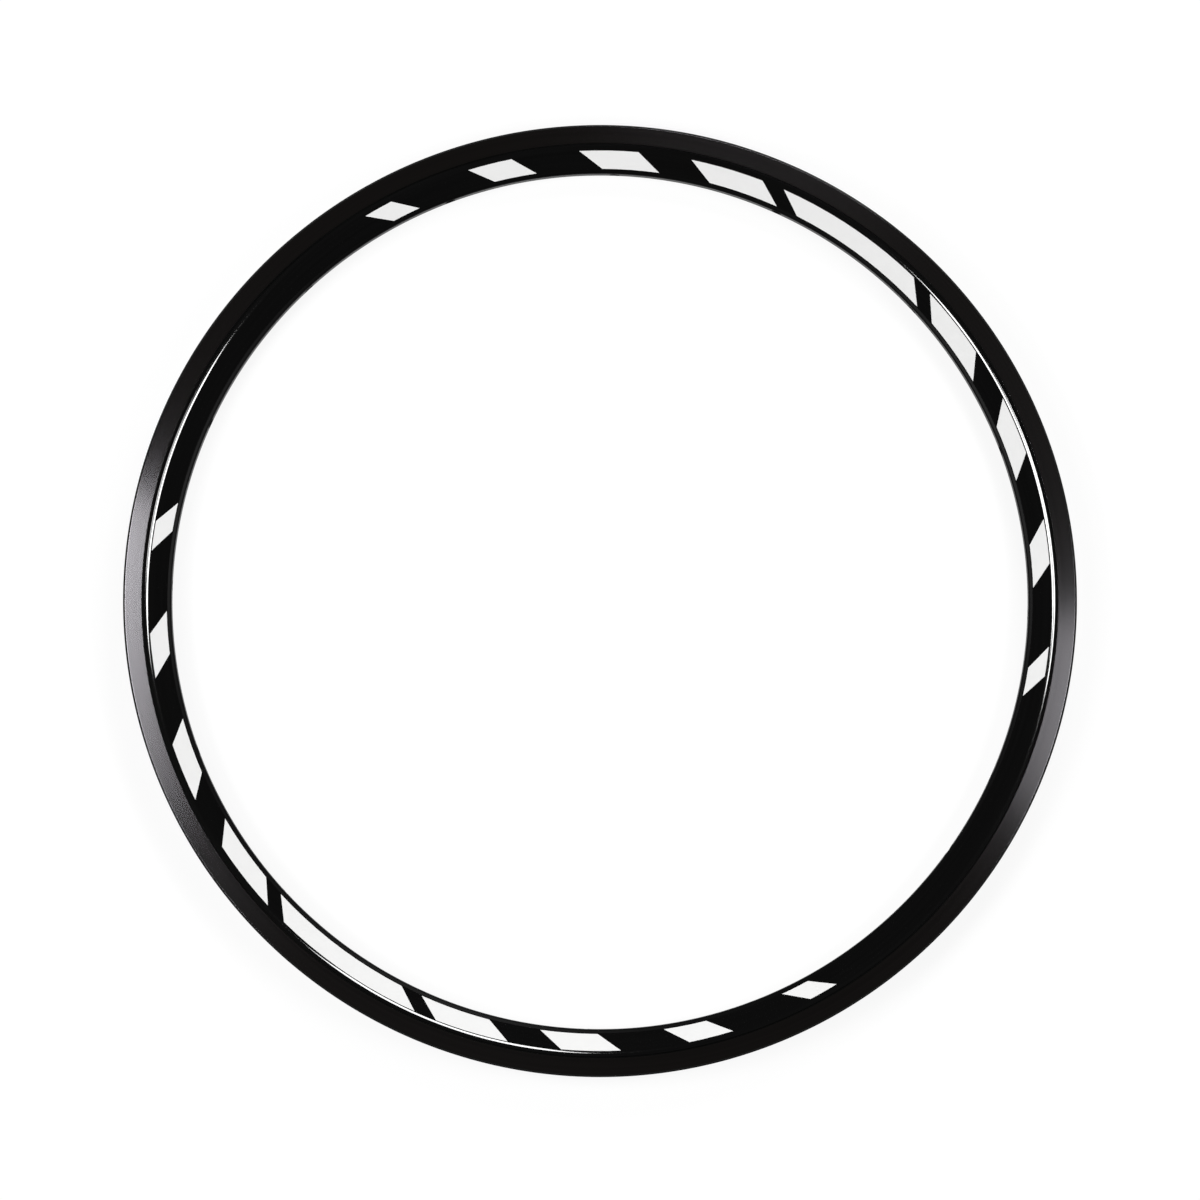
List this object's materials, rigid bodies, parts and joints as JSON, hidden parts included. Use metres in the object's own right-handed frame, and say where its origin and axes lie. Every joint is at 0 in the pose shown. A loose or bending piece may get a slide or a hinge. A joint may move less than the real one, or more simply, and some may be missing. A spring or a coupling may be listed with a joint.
{
  "type": "bicycle rim",
  "caption": "Hollow double-wall bicycle rim with hooked tyre flanges, flat brake tracks, a tapered drilled nose and slanted decals on one side.",
  "frame": {"origin": "the rim's centre, on the axle line and on the mid-plane between the two brake tracks", "axes": "+Z along the axle line, out of the side with the decals; +X through the valve hole"},
  "size_m": [0.4179, 0.418, 0.022],
  "materials": {
    "anodised_metal": "black anodised gloss, with fine concentric machining on both brake tracks",
    "decal_film": "white cut vinyl"
  },
  "bodies": {
    "root": {"rim_hoop": "anodised_metal", "decal_1": "decal_film", "decal_2": "decal_film"}
  },
  "joints": []
}
